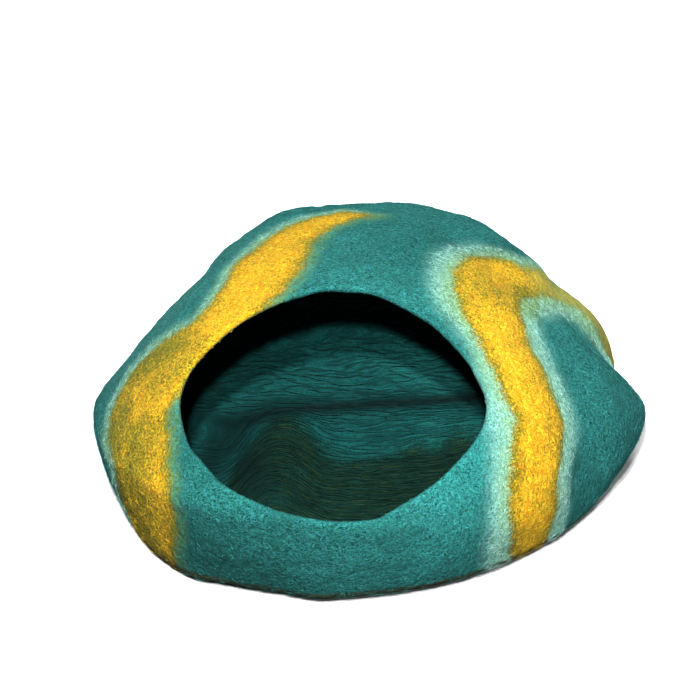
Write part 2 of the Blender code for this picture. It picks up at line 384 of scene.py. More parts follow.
def line_distance(points, start, end):
    """Distance to a line from start to end, and the share of the way along it."""
    start = np.array(start)
    along = np.array(end) - start
    share = np.clip((points - start) @ along / (along @ along), 0, 1)
    return np.linalg.norm(points - start - share[:, None] * along, axis=1), share


def bump(points, line):
    """A soft bump along a line: its full height on it, nothing beyond its reach."""
    away, _ = line_distance(points, line.start, line.end)
    return line.height * np.clip(1 - (away / line.reach) ** 2, 0, 1) ** 2


def wobble(points):
    """The gentle unevenness of hand-worked felt, which dies out at the floor."""
    x, y, z = points.T / WOBBLE_LENGTH
    wave = np.sin(x + 1.3 * np.sin(0.7 * y)) * np.cos(1.1 * y - 0.8 * z) + np.sin(0.6 * x - 0.9 * z + 2.0)
    return WOBBLE_HEIGHT * wave * np.clip((points[:, 2] - WOBBLE_START) / WOBBLE_RISE, 0, 1)


def felt_points(directions):
    """Points of the felt's outside, with its folds, its unevenness and its floor waves."""
    points = wall_points(directions)
    push = wobble(points) + sum(bump(points, fold) for fold in FOLDS)
    points = points + directions * push[:, None]
    lift = sum(bump(points[:, :2], wave) ** WAVE_BLEND for wave in FLOOR_WAVES) ** (1 / WAVE_BLEND)
    points[:, 2] += lift * np.clip(1 - points[:, 2] / FLOOR_WAVE_REACH, 0, 1) ** 2
    return points


def bag_directions(turns, rings, setback=0.0):
    """Directions in rings, from the mouth's edge over the whole pod to the point behind it."""
    aim = MOUTH_AIM / np.linalg.norm(MOUTH_AIM)
    right = np.cross([0.0, 0.0, 1.0], -aim)
    right /= np.linalg.norm(right)
    right *= np.sign(right[0])
    up = np.cross(right, aim)
    up *= np.sign(up[2])
    turn = np.linspace(0, 360, turns, endpoint=False)
    share = np.arange(rings)[:, None] / rings
    edge = around(RIM, "spread", turn) + setback
    spread = np.radians(edge + (180 - edge) * share)[..., None]
    turn = np.radians(turn)[:, None]
    sideways = np.cos(turn) * right + np.sin(turn) * up
    return np.cos(spread) * aim + np.sin(spread) * sideways, -aim


def pod_middle():
    """Middle of the solid's own coarse rings, which the solid is centred on."""
    rings, back = bag_directions(SOLID_TURNS, SOLID_RINGS)
    points = felt_points(np.concatenate([rings.reshape(-1, 3), back[None]]))
    middle = (points.min(axis=0) + points.max(axis=0)) / 2
    return np.array([middle[0], middle[1], 0.0])


# ---------------------------------------------------------------- the fine skin
def ripple(points, shortest, longest, seed):
    """Smooth random relief between about -1 and 1, made of many plane waves."""
    chance = np.random.default_rng(seed)
    total = np.zeros(len(points))
    for _ in range(RIPPLE_WAVES):
        heading = chance.normal(size=3)
        heading /= np.linalg.norm(heading)
        length = shortest * (longest / shortest) ** chance.random()
        total += np.sin(points @ heading * 2 * math.pi / length + chance.random() * 2 * math.pi)
    return total / math.sqrt(RIPPLE_WAVES)


def outer_relief(points):
    """The soft relief of the outside, as heights, which dies out at the floor."""
    floor_fade = np.clip((points[:, 2] - RELIEF_START) / RELIEF_RISE, 0, 1)
    return RELIEF_HEIGHT * ripple(points, *RELIEF_LENGTHS, seed=4) * floor_fade


def inner_creases(points):
    """Level felting creases on the inside, as heights."""
    bent = points * np.array([CREASE_STRETCH, CREASE_STRETCH, 1.0])
    bent[:, 2] += CREASE_SWAY * np.sin(points[:, 0] / CREASE_SWAY_LENGTH)
    return CREASE_HEIGHT * ripple(bent, *CREASE_LENGTHS, seed=9)


def grid_normals(grid, pole):
    """Outward unit normals of a grid of rings that closes at a pole."""
    across = np.roll(grid, -1, axis=1) - np.roll(grid, 1, axis=1)
    along = np.empty_like(grid)
    along[1:-1] = grid[2:] - grid[:-2]
    along[0] = -1.5 * grid[0] + 2 * grid[1] - 0.5 * grid[2]
    along[-1] = pole - grid[-2]
    normals = np.cross(along, across)
    return normals / np.linalg.norm(normals, axis=-1, keepdims=True)


def lip_rows(grid, normals, outside, inside):
    """Rows of points half round the mouth's edge, from the outside to the inside."""
    outward = grid[0] - grid[1]
    outward -= (outward * normals[0]).sum(axis=-1, keepdims=True) * normals[0]
    outward /= np.linalg.norm(outward, axis=-1, keepdims=True)
    middle = (outside[0] + inside[0]) / 2
    half = (outside[0] - inside[0]) / 2
    radius = np.linalg.norm(half, axis=-1, keepdims=True)
    rows = []
    for step in range(1, LIP_STEPS):
        turn = math.pi * step / LIP_STEPS
        rows.append(middle + math.cos(turn) * half + math.sin(turn) * radius * outward)
    return np.array(rows)


def fine_skin():
    """Rows of points from behind over the outside, round the lip and back inside.

    Also gives the two end points, how far inside each row lies from 0 to 1, and the pod's heart.
    """
    middle = pod_middle()
    rings, back = bag_directions(TURNS, RINGS, LIP_SETBACK)
    points = felt_points(np.concatenate([rings.reshape(-1, 3), back[None]])) - middle
    grid = points[:-1].reshape(RINGS, TURNS, 3)
    pole = points[-1]
    normals = grid_normals(grid, pole)
    pole_normal = normals[-1].mean(axis=0)
    pole_normal /= np.linalg.norm(pole_normal)

    flat = grid.reshape(-1, 3)
    relief = outer_relief(flat).reshape(RINGS, TURNS, 1)
    creases = inner_creases(flat - normals.reshape(-1, 3) * FELT_THICKNESS).reshape(RINGS, TURNS, 1)
    outside = grid + normals * relief
    inside = grid - normals * (FELT_THICKNESS - creases)
    rows = np.concatenate([outside[::-1], lip_rows(grid, normals, outside, inside), inside])
    ends = np.array([pole, pole - pole_normal * FELT_THICKNESS])
    depth = np.concatenate([np.zeros(RINGS), np.arange(1, LIP_STEPS) / LIP_STEPS, np.ones(RINGS)])
    return rows, ends, depth, HEART - middle


def smooth_path(stops):
    """A denser smooth line through a band's stops, the widths included."""
    rows = np.array(stops)
    rows = np.concatenate([2 * rows[:1] - rows[1:2], rows, 2 * rows[-1:] - rows[-2:-1]])
    dense = []
    for near_rows in zip(rows, rows[1:], rows[2:], rows[3:]):
        for share in np.arange(PATH_STEPS) / PATH_STEPS:
            dense.append(smooth_between(*near_rows, share))
    dense.append(rows[-2])
    return np.array(dense)


def band_edges(points, heart):
    """How far outside the yellow and outside the pale wool each point is, and the pale's strength."""
    yellow = np.full(len(points), FAR_FROM_BANDS)
    pale = np.full(len(points), FAR_FROM_BANDS)
    strength = np.zeros(len(points))
    for band in BANDS.values():
        path = smooth_path(band.stops)
        for first, second in zip(path, path[1:]):
            away, share = line_distance(points, first[:3], second[:3])
            half, outer, inner = first[3:, None] + (second[3:] - first[3:])[:, None] * share
            across = np.cross(second[:3] - first[:3], points - heart)
            side = ((points - first[:3]) * across).sum(axis=1)
            border = np.where(side > 0, inner, outer)
            yellow = np.minimum(yellow, away - half)
            reach = away - half - border
            strength = np.where(reach < pale, band.pale_strength, strength)
            pale = np.minimum(pale, reach)
    return yellow, pale, strength


def smooth_step(low, high, value):
    """0 at low and 1 at high, with a smooth change between them."""
    share = np.clip((value - low) / (high - low), 0, 1)
    return share * share * (3 - 2 * share)


def soft_share(points, lines):
    """The strength in the middle of a soft place in the wool, 0 beyond its reach."""
    share = np.zeros(len(points))
    for line in lines:
        away, _ = line_distance(points, line.start, line.end)
        share = np.maximum(share, line.strength * smooth_step(line.reach, 0.0, away))
    return share


def olive_edge(x):
    """How far back the olive wool of the slack floor reaches, at each x."""
    rows = np.array(OLIVE_EDGE)
    shifts = (-OLIVE_ROUNDING, 0.0, OLIVE_ROUNDING)
    return sum(np.interp(x + shift, rows[:, 0], rows[:, 1]) for shift in shifts) / len(shifts)


def floor_share(points):
    """1 on the slack floor of the pod, where the wool is olive, and 0 on its wall."""
    x, y, z = points.T
    front = smooth_step(*FLOOR_FRONT, y - olive_edge(x))
    return front * smooth_step(*FLOOR_LEFT, x) * smooth_step(*FLOOR_TOP, z)


def inside_path(points):
    """A length that grows over the floor and up the back wall, so that creases can run level."""
    x, y, z = points.T
    path = PATH_RADIUS * np.arctan2(y - PATH_CENTRE_Y, PATH_CENTRE_Z - z)
    on_floor = smooth_step(*PATH_FLOOR_DEPTH, y) * smooth_step(*PATH_FLOOR_HEIGHT, z)
    return path - on_floor * PATH_BEND * olive_edge(x)


Skin = namedtuple("Skin", "pod points quads values")


def skin_object(name):
    """The felt skin as one closed mesh, with the values at its points that the wool's looks need."""
    rows, ends, depth, heart = fine_skin()
    points = np.concatenate([rows.reshape(-1, 3), ends])
    count = len(rows)
    index = np.arange(count * TURNS).reshape(count, TURNS)
    beside = np.roll(index, -1, axis=1)
    quads = np.stack([index[:-1], beside[:-1], beside[1:], index[1:]], axis=-1).reshape(-1, 4)
    outer_end = np.stack([np.full(TURNS, count * TURNS), beside[0], index[0]], axis=-1)
    inner_end = np.stack([np.full(TURNS, count * TURNS + 1), index[-1], beside[-1]], axis=-1)
    mesh = bpy.data.meshes.new(name)
    mesh.from_pydata(points.tolist(), [], quads.tolist() + outer_end.tolist() + inner_end.tolist())
    mesh.validate()
    mesh.shade_smooth()

    yellow, pale, strength = band_edges(points, heart)
    values = {
        "inside": np.concatenate([np.repeat(depth, TURNS), [0.0, 1.0]]),
        "yellow_edge": yellow,
        "pale_edge": pale,
        "pale_strength": strength,
        "floor": floor_share(points),
    }
    values.update({place: soft_share(points, lines) for place, lines in SOFT_PLACES.items()})
    for place, shares in values.items():
        attribute = mesh.attributes.new(place, "FLOAT", "POINT")
        attribute.data.foreach_set("value", shares.astype(np.float32))
    grain = np.stack([points[:, 0], inside_path(points), np.zeros(len(points))], axis=-1)
    attribute = mesh.attributes.new("grain", "FLOAT_VECTOR", "POINT")
    attribute.data.foreach_set("vector", grain.astype(np.float32).ravel())

    pod = bpy.data.objects.new(name, mesh)
    bpy.context.scene.collection.objects.link(pod)
    return Skin(pod, points, quads, values)


# ---------------------------------------------------------------- looks of the wool
# Colours in linear light, dark between the fibres and light where they catch it.
Wool = namedtuple("Wool", "dark light")
GREEN_TEAL = Wool((0.005, 0.036, 0.030, 1), (0.046, 0.275, 0.225, 1))
BLUE_TEAL = Wool((0.004, 0.034, 0.039, 1), (0.064, 0.290, 0.305, 1))
# Painted light: the lit teal right of the mouth.
LIT_TEAL = Wool((0.012, 0.080, 0.075, 1), (0.075, 0.460, 0.440, 1))
PALE = Wool((0.075, 0.230, 0.200, 1), (0.410, 0.630, 0.550, 1))
PALE_MOSS = Wool((0.060, 0.120, 0.024, 1), (0.260, 0.340, 0.065, 1))
YELLOW = Wool((0.260, 0.150, 0.012, 1), (0.860, 0.580, 0.044, 1))
MOSS = Wool((0.036, 0.056, 0.009, 1), (0.262, 0.252, 0.028, 1))
FADED = Wool((0.180, 0.205, 0.060, 1), (0.430, 0.450, 0.150, 1))
# Painted shade: the dark brown where the wall turns under at the foot.
FOOT_SHADE_BROWN = Wool((0.030, 0.020, 0.007, 1), (0.095, 0.070, 0.022, 1))
INNER_TEAL = Wool((0.007, 0.068, 0.064, 1), (0.028, 0.208, 0.196, 1))
# Painted light: the lit teal of the inside.
LIT_INNER_TEAL = Wool((0.016, 0.120, 0.112, 1), (0.045, 0.290, 0.270, 1))
OLIVE = Wool((0.005, 0.022, 0.016, 1), (0.016, 0.056, 0.036, 1))
BLOTCH_TEAL = (0.018, 0.095, 0.085, 1)
# Painted shade: darker teal for places outside that lie in shade.
SHADE_TEAL = (0.008, 0.050, 0.043, 1)
# Painted sheen: the pale of fuzz catching grazing light.
SHEEN_PALE = (0.260, 0.400, 0.340, 1)
MARGIN_MOSS = (0.220, 0.310, 0.070, 1)
ORANGE = (0.600, 0.260, 0.008, 1)
# Painted shade in the creases inside.
CREASE_SHADE_TEAL = (0.005, 0.040, 0.037, 1)
STRAY_YELLOW = (0.085, 0.105, 0.014, 1)
# Painted shade behind the floor's fold and on dim places inside.
VALLEY_SHADE_TEAL = (0.003, 0.018, 0.018, 1)
SHEEN_TEAL = (0.35, 0.80, 0.75, 1)

# Noises: about how many grains per metre along each axis, and how the axes are turned, in degrees.
Noise = namedtuple("Noise", "scales detail roughness angles", defaults=[(0, 0, 0)])
BLOTCHES = Noise((45, 45, 45), 3.0, 0.5)
SPECKS = Noise((230, 230, 230), 2.0, 0.5)
FLECKS = Noise((560, 560, 560), 2.0, 0.6)
TINTS = Noise((620, 620, 620), 1.0, 0.5)
CURLS = Noise((130, 130, 130), 2.0, 0.5)
STROKES = [Noise((280, 900, 900), 1.0, 0.5, angles) for angles in ((0, 0, 20), (70, 20, 0), (0, 65, 40))]
GRAINS = Noise((780, 780, 780), 1.0, 0.6)
CRINKLES = Noise((110, 110, 60), 2.0, 0.55)
SWAYS = Noise((22, 60, 1), 1.0, 0.5)
CREASES = Noise((28, 185, 1), 2.0, 0.5)
THREADS = Noise((110, 620, 1), 2.0, 0.6)
STRAYS = Noise((45, 800, 1), 1.0, 0.5)
FUZZ_SHADES = Noise((300, 300, 300), 2.0, 0.5)

# Changes from one value at low to another at high, smooth or straight.
Span = namedtuple("Span", "low high to_low to_high smooth", defaults=[0.0, 1.0, True])
STROKE_SPAN = Span(0.47, 0.72, smooth=False)
GRAIN_SPAN = Span(0.32, 0.68, smooth=False)
TINT_SPAN = Span(0.35, 0.65)
TEAL_SPAN = Span(0.04, 0.94, smooth=False)
BLOTCH_SPAN = Span(0.40, 0.70, 0.0, 0.35)
PALE_SPAN = Span(0.006, -0.018)
PALE_TINT_SPAN = Span(0.0, 1.0, 0.75, 1.0)
YELLOW_SPAN = Span(0.004, -0.004)
ORANGE_SPAN = Span(0.46, 0.64, 0.0, 0.55)
MARGIN_SPAN = Span(0.015, 0.000, 0.0, 0.60)
MARGIN_FLECK_SPAN = Span(0.35, 0.65, 0.3, 1.0)
MOSS_RIM_SPAN = Span(-0.016, 0.002, 0.0, 0.85)
MOSS_SPAN = Span(-0.20, 1.00, 0.0, 0.92)
FADED_FLECK_SPAN = Span(0.3, 0.6, 0.7, 1.0)
FOOT_SHADE_SPAN = Span(0.0230, 0.0160)
RIDGE_SPAN = Span(0.0, 0.12)
INNER_SPAN = Span(0.25, 0.75, smooth=False)
CREASE_SHADE_SPAN = Span(0.0, 1.0, 0.40, 0.0)
STRAY_SPAN = Span(0.58, 0.70, 0.0, 0.55)
FLOOR_SPAN = Span(0.0, 1.0, 0.0, 0.95)
SIDE_SPAN = Span(0.45, 0.85)
FUZZ_SPAN = Span(0.3, 0.7)
GLOW_SPAN = Span(0.22, 0.42)

# How far the noises move the bands' edges, in metres.
FIBRE_UNREST = 0.006
BLOTCH_UNREST = 0.010
SPECK_UNREST = 0.006
# How far they move other values.
FLECK_MOSS = 3.0
BLOTCH_MOSS = 1.0
BLOTCH_FLOOR = 1.0
FLECK_FLOOR = 1.0
FIBRE_SIDE = 0.3
# How far they bend the wool's strokes and the creases, in metres.
CURL_BEND = 0.008
SWAY_BEND = 0.012
# How much of two blended noises is the first.
STROKE_PART = 0.5
THREAD_PART = 0.6

# Heights of the bumps, in metres.
FIBRE_BUMP = 0.00045
SPECK_BUMP = 0.0009
CRINKLE_BUMP = 0.0005
CREASE_BUMP = 0.0014
THREAD_BUMP = 0.0003


class Nodes:
    """Short calls for building a material's nodes."""

    def __init__(self, name):
        self.material = bpy.data.materials.new(name)
        self.material.use_nodes = True
        self.tree = self.material.node_tree
        self.shader = self.tree.nodes["Principled BSDF"]

    def feed(self, socket, value):
        """Give a socket another socket's output, or a fixed value."""
        if isinstance(value, bpy.types.NodeSocket):
            self.tree.links.new(value, socket)
        else:
            socket.default_value = value

    def new(self, kind, **settings):
        made = self.tree.nodes.new(kind)
        for key, value in settings.items():
            setattr(made, key, value)
        return made

    def value(self, name):
        """A value that the mesh holds at its points."""
        return self.new("ShaderNodeAttribute", attribute_name=name).outputs["Fac"]

    def vector(self, name):
        """A vector that the mesh holds at its points."""
        return self.new("ShaderNodeAttribute", attribute_name=name).outputs["Vector"]

    def place(self):
        return self.new("ShaderNodeTexCoord").outputs["Object"]

    def noise(self, vector, kind, output="Fac"):
        """Soft noise about 0.5."""
        axes = self.new("ShaderNodeMapping")
        self.feed(axes.inputs["Vector"], vector)
        axes.inputs["Rotation"].default_value = [math.radians(angle) for angle in kind.angles]
        axes.inputs["Scale"].default_value = kind.scales
        made = self.new("ShaderNodeTexNoise")
        self.feed(made.inputs["Vector"], axes.outputs["Vector"])
        made.inputs["Scale"].default_value = 1.0
        made.inputs["Detail"].default_value = kind.detail
        made.inputs["Roughness"].default_value = kind.roughness
        return made.outputs[output]

    def bent(self, vector, kind, amount):
        """A vector moved about by a noise."""
        stray = self.noise(vector, kind, output="Color")
        stray = self.vector_math("SUBTRACT", stray, (0.5, 0.5, 0.5))
        return self.vector_math("ADD", vector, self.vector_math("SCALE", stray, scale=amount))

    def ridges(self, vector, kind):
        """0 on the winding lines of a noise and 1 away from them."""
        noise = self.noise(vector, kind)
        return self.span(self.math("ABSOLUTE", self.math("SUBTRACT", noise, 0.5)), RIDGE_SPAN)

    def math(self, operation, first, second=0.0, third=0.0):
        made = self.new("ShaderNodeMath", operation=operation)
        for socket, value in zip(made.inputs, (first, second, third)):
            self.feed(socket, value)
        return made.outputs[0]

    def blend(self, first, second, part):
        """The two values added, with part of the first and the rest of the second."""
        return self.math("MULTIPLY_ADD", first, part, self.math("MULTIPLY", second, 1 - part))

    def stirred(self, value, noise, amount):
        """A value moved up and down by a noise about 0.5."""
        return self.math("MULTIPLY_ADD", self.math("SUBTRACT", noise, 0.5), amount, value)

    def vector_math(self, operation, first, second=(0.0, 0.0, 0.0), scale=1.0):
        made = self.new("ShaderNodeVectorMath", operation=operation)
        self.feed(made.inputs[0], first)
        if operation == "SCALE":
            self.feed(made.inputs["Scale"], scale)
        else:
            self.feed(made.inputs[1], second)
        return made.outputs[0]

    def span(self, value, span):
        made = self.new("ShaderNodeMapRange")
        made.interpolation_type = "SMOOTHSTEP" if span.smooth else "LINEAR"
        for socket, item in zip(made.inputs, (value, *span[:4])):
            self.feed(socket, item)
        return made.outputs[0]

    def mix(self, share, first, second):
        made = self.new("ShaderNodeMix", data_type="RGBA")
        self.feed(made.inputs["Factor"], share)
        self.feed(made.inputs["A"], first)
        self.feed(made.inputs["B"], second)
        return made.outputs["Result"]

    def wool(self, fibre, wool):
        """The colour of a wool, from dark to light."""
        return self.mix(fibre, wool.dark, wool.light)


Felt = namedtuple("Felt", "place fibre blotch speck fleck tint")


def felt_noises(nodes):
    """The noises that the wool's colours and bumps share, each about 0 to 1."""
    place = nodes.place()
    bent = nodes.bent(place, CURLS, CURL_BEND)
    first, second, third = (nodes.noise(bent, kind) for kind in STROKES)
    strokes = nodes.span(nodes.math("MAXIMUM", nodes.math("MAXIMUM", first, second), third), STROKE_SPAN)
    grains = nodes.span(nodes.noise(bent, GRAINS), GRAIN_SPAN)
    return Felt(
        place=place,
        fibre=nodes.blend(strokes, grains, STROKE_PART),
        blotch=nodes.noise(place, BLOTCHES),
        speck=nodes.noise(place, SPECKS),
        fleck=nodes.noise(place, FLECKS),
        tint=nodes.span(nodes.noise(place, TINTS), TINT_SPAN),
    )


def teal_colour(nodes, felt):
    """The teal wool outside, with its blotches, its painted light and its painted sheen."""
    dark = nodes.mix(felt.tint, GREEN_TEAL.dark, BLUE_TEAL.dark)
    light = nodes.mix(felt.tint, GREEN_TEAL.light, BLUE_TEAL.light)
    teal = nodes.mix(nodes.span(felt.fibre, TEAL_SPAN), dark, light)
    teal = nodes.mix(nodes.span(felt.blotch, BLOTCH_SPAN), teal, BLOTCH_TEAL)
    # Painted light: brighter teal right of the mouth and on the front right.
    teal = nodes.mix(nodes.value("painted_light"), teal, nodes.wool(felt.fibre, LIT_TEAL))
    # Painted sheen: a pale veil on the left slope.
    return nodes.mix(nodes.value("painted_sheen"), teal, SHEEN_PALE)


def yellow_colour(nodes, felt, yellow_edge):
    """The yellow wool with its orange flecks, mossy where it is thin and near its edges."""
    yellow = nodes.wool(felt.fibre, YELLOW)
    yellow = nodes.mix(nodes.span(felt.speck, ORANGE_SPAN), yellow, ORANGE)
    moss = nodes.math("MAXIMUM", nodes.value("thin"), nodes.span(yellow_edge, MOSS_RIM_SPAN))
    moss = nodes.stirred(moss, felt.fleck, FLECK_MOSS)
    moss = nodes.stirred(moss, felt.blotch, BLOTCH_MOSS)
    yellow = nodes.mix(nodes.span(moss, MOSS_SPAN), yellow, nodes.wool(felt.fibre, MOSS))
    faded = nodes.math("MULTIPLY", nodes.value("faded"), nodes.span(felt.fleck, FADED_FLECK_SPAN))
    return nodes.mix(faded, yellow, nodes.wool(felt.fibre, FADED))


def outer_colour(nodes, felt):
    """The wool outside: teal with painted shade, the pale borders, the yellow bands and a brown foot of
    painted shade.
    """
    unrest = nodes.stirred(0.0, felt.fibre, FIBRE_UNREST)
    unrest = nodes.stirred(unrest, felt.blotch, BLOTCH_UNREST)
    unrest = nodes.stirred(unrest, felt.speck, SPECK_UNREST)
    yellow_edge = nodes.math("ADD", nodes.value("yellow_edge"), unrest)
    pale_edge = nodes.math("ADD", nodes.value("pale_edge"), unrest)

    pale = nodes.wool(felt.fibre, PALE)
    pale = nodes.mix(nodes.value("mossy_pale"), pale, nodes.wool(felt.fibre, PALE_MOSS))
    pale_share = nodes.math("MULTIPLY", nodes.span(pale_edge, PALE_SPAN), nodes.value("pale_strength"))
    pale_share = nodes.math("MULTIPLY", pale_share, nodes.span(felt.tint, PALE_TINT_SPAN))
    margin = nodes.span(yellow_edge, MARGIN_SPAN)
    margin = nodes.math("MULTIPLY", margin, nodes.span(felt.fleck, MARGIN_FLECK_SPAN))
    # Painted shade: brown laid low on the wall, where it turns under at the foot.
    height = nodes.new("ShaderNodeSeparateXYZ")
    nodes.feed(height.inputs[0], felt.place)
    foot = nodes.span(height.outputs["Z"], FOOT_SHADE_SPAN)

    outer = nodes.mix(pale_share, teal_colour(nodes, felt), pale)
    # Painted shade: darker teal on places outside.
    outer = nodes.mix(nodes.value("painted_shade"), outer, SHADE_TEAL)
    outer = nodes.mix(margin, outer, MARGIN_MOSS)
    yellow = yellow_colour(nodes, felt, yellow_edge)
    outer = nodes.mix(nodes.span(yellow_edge, YELLOW_SPAN), outer, yellow)
    return nodes.mix(foot, outer, nodes.wool(felt.fibre, FOOT_SHADE_BROWN))


def inner_colour(nodes, felt, grain, crease, thread):
    """The wool inside: dark teal with painted shade in its creases and painted light in places, olive on
    the floor, and painted shade behind the folds and on dim places.
    """
    fibre = nodes.span(nodes.blend(thread, felt.fibre, THREAD_PART), INNER_SPAN)
    inner = nodes.wool(fibre, INNER_TEAL)
    # Painted shade: darker teal in the creases.
    inner = nodes.mix(nodes.span(crease, CREASE_SHADE_SPAN), inner, CREASE_SHADE_TEAL)
    # Painted light: lighter teal on places of the back wall inside.
    inner = nodes.mix(nodes.value("painted_light_inside"), inner, nodes.wool(fibre, LIT_INNER_TEAL))
    strays = nodes.span(nodes.noise(grain, STRAYS), STRAY_SPAN)
    olive = nodes.mix(strays, nodes.wool(fibre, OLIVE), STRAY_YELLOW)
    floor = nodes.stirred(nodes.value("floor"), felt.blotch, BLOTCH_FLOOR)
    floor = nodes.stirred(floor, felt.fleck, FLECK_FLOOR)
    inner = nodes.mix(nodes.span(floor, FLOOR_SPAN), inner, olive)
    # Painted shade: near-black teal behind the floor's fold and on dim places deep in the pod.
    return nodes.mix(nodes.value("valley"), inner, VALLEY_SHADE_TEAL)


def felt_material():
    nodes = Nodes("teal_felt")
    felt = felt_noises(nodes)
    grain = nodes.bent(nodes.vector("grain"), SWAYS, SWAY_BEND)
    crease = nodes.ridges(grain, CREASES)
    thread = nodes.noise(grain, THREADS)
    side = nodes.span(nodes.stirred(nodes.value("inside"), felt.fibre, FIBRE_SIDE), SIDE_SPAN)
    outer = outer_colour(nodes, felt)
    inner = inner_colour(nodes, felt, grain, crease, thread)
    nodes.feed(nodes.shader.inputs["Base Color"], nodes.mix(side, outer, inner))
    nodes.shader.inputs["Roughness"].default_value = 1.0
    nodes.shader.inputs["Specular IOR Level"].default_value = 0.03
    nodes.shader.inputs["Sheen Weight"].default_value = 0.05
    nodes.shader.inputs["Sheen Roughness"].default_value = 0.6
    nodes.shader.inputs["Sheen Tint"].default_value = SHEEN_TEAL

    height = nodes.math("MULTIPLY", felt.speck, SPECK_BUMP)
    height = nodes.math("MULTIPLY_ADD", felt.fibre, FIBRE_BUMP, height)
    height = nodes.math("MULTIPLY_ADD", nodes.ridges(felt.place, CRINKLES), CRINKLE_BUMP, height)
    inner_height = nodes.math("MULTIPLY", thread, THREAD_BUMP)
    inner_height = nodes.math("MULTIPLY_ADD", crease, CREASE_BUMP, inner_height)
    height = nodes.math("MULTIPLY_ADD", nodes.math("SUBTRACT", inner_height, height), side, height)
    bumps = nodes.new("ShaderNodeBump")
    bumps.inputs["Strength"].default_value = 1.0
    bumps.inputs["Distance"].default_value = 1.0
    nodes.feed(bumps.inputs["Height"], height)
    nodes.feed(nodes.shader.inputs["Normal"], bumps.outputs["Normal"])
    return nodes.material


# ---------------------------------------------------------------- loose fibres
FIBRE_LENGTH = (0.0020, 0.0055)
FIBRE_WIDTH = (0.00012, 0.00024)
FIBRE_STEPS = np.array([0.0, 0.35, 0.70, 1.0])
LOWEST_FIBRE = 0.004
LEAST_LIFT = 6
MOST_LIFT = 62
FIBRE_CURL = 0.45
FIBRE_DROOP = 0.45
FIBRE_TAPER = 0.6
LIP_FIBRES = 0.45
ROOT_GAP = 0.0001
FLOOR_GAP = 0.0003
# Where each colour of fibre grows, by the distance outside the yellow and outside the pale wool.
IN_YELLOW = -0.004
OUT_OF_YELLOW = 0.001
IN_PALE = -0.006
DEEPEST_FIBRE = 0.7
THINNED = 0.85
Fuzz = namedtuple("Fuzz", "name count seed wool")
FUZZ = [
    Fuzz("teal_fuzz", 32000, 11, Wool((0.020, 0.140, 0.130, 1), (0.085, 0.350, 0.330, 1))),
    Fuzz("pale_fuzz", 9000, 12, Wool((0.160, 0.380, 0.330, 1), (0.500, 0.720, 0.640, 1))),
    Fuzz("yellow_fuzz", 10000, 13, Wool((0.300, 0.210, 0.020, 1), (0.850, 0.600, 0.060, 1))),
]


def wool_share(skin, name):
    """How thickly each face carries a colour of loose fibre."""
    def on_faces(values):
        return values[skin.quads].mean(axis=1)

    yellow = on_faces(skin.values["yellow_edge"])
    pale = on_faces(skin.values["pale_edge"])
    outside = on_faces(skin.values["inside"]) < DEEPEST_FIBRE
    if name == "yellow_fuzz":
        sparse = np.maximum(skin.values["thin"], skin.values["faded"])
        return (yellow < IN_YELLOW) * (1 - THINNED * on_faces(sparse)) * outside
    if name == "pale_fuzz":
        strength = on_faces(skin.values["pale_strength"]) ** 2
        return ((yellow >= OUT_OF_YELLOW) & (pale < IN_PALE)) * strength * outside
    return ((yellow >= OUT_OF_YELLOW) & (pale >= IN_PALE)) * 1.0 * outside


def fibre_mesh(skin, fuzz):
    """Thin curled ribbons of three pieces each, rooted at random places on the felt."""
    chance = np.random.default_rng(fuzz.seed)
    count = fuzz.count
    corners = skin.points[skin.quads]
    area = np.linalg.norm(np.cross(corners[:, 2] - corners[:, 0], corners[:, 3] - corners[:, 1]), axis=1)
    weight = area * wool_share(skin, fuzz.name) * (corners[:, :, 2].mean(axis=1) > LOWEST_FIBRE)
    chosen = chance.choice(len(skin.quads), count, p=weight / weight.sum())
    u, v = chance.random((2, count, 1))
    a, b, c, d = corners[chosen].transpose(1, 0, 2)
    root = (a * (1 - u) + b * u) * (1 - v) + (d * (1 - u) + c * u) * v
    normal = np.cross(c - a, d - b)
    normal /= np.linalg.norm(normal, axis=1, keepdims=True)

    along = chance.normal(size=(count, 3))
    along -= (along * normal).sum(axis=1, keepdims=True) * normal
    along /= np.linalg.norm(along, axis=1, keepdims=True)
    aside = np.cross(normal, along)
    lift = np.radians(LEAST_LIFT + MOST_LIFT * chance.random((count, 1)) ** 3)
    on_lip = skin.values["inside"][skin.quads[chosen]].mean(axis=1)[:, None] > 0
    length = chance.uniform(*FIBRE_LENGTH, (count, 1)) * np.where(on_lip, LIP_FIBRES, 1.0)
    curl = chance.normal(size=(count, 1)) * FIBRE_CURL
    t = FIBRE_STEPS[:, None, None]
    path = t * (np.cos(lift) * along + np.sin(lift) * normal)
    path = path + t ** 2 * (curl * aside - FIBRE_DROOP * np.sin(lift) * normal)
    path = root + ROOT_GAP * normal + length * path
    lean = chance.random((count, 1))
    slant = chance.normal(size=(count, 1))
    facing = np.cross(along, normal * lean + aside * slant)
    facing /= np.linalg.norm(facing, axis=1, keepdims=True)
    half = chance.uniform(*FIBRE_WIDTH, (count, 1)) / 2 * (1 - FIBRE_TAPER * t)

    verts = np.stack([path - facing * half, path + facing * half], axis=2)
    verts = verts.transpose(1, 0, 2, 3).reshape(-1, 3)
    verts[:, 2] = np.maximum(verts[:, 2], FLOOR_GAP)
    first = np.arange(count)[:, None] * len(FIBRE_STEPS) * 2
    step = np.arange(len(FIBRE_STEPS) - 1)[None] * 2
    corner = (first + step)[..., None] + np.array([0, 1, 3, 2])
    mesh = bpy.data.meshes.new(fuzz.name)
    mesh.from_pydata(verts.tolist(), [], corner.reshape(-1, 4).tolist())
    return mesh


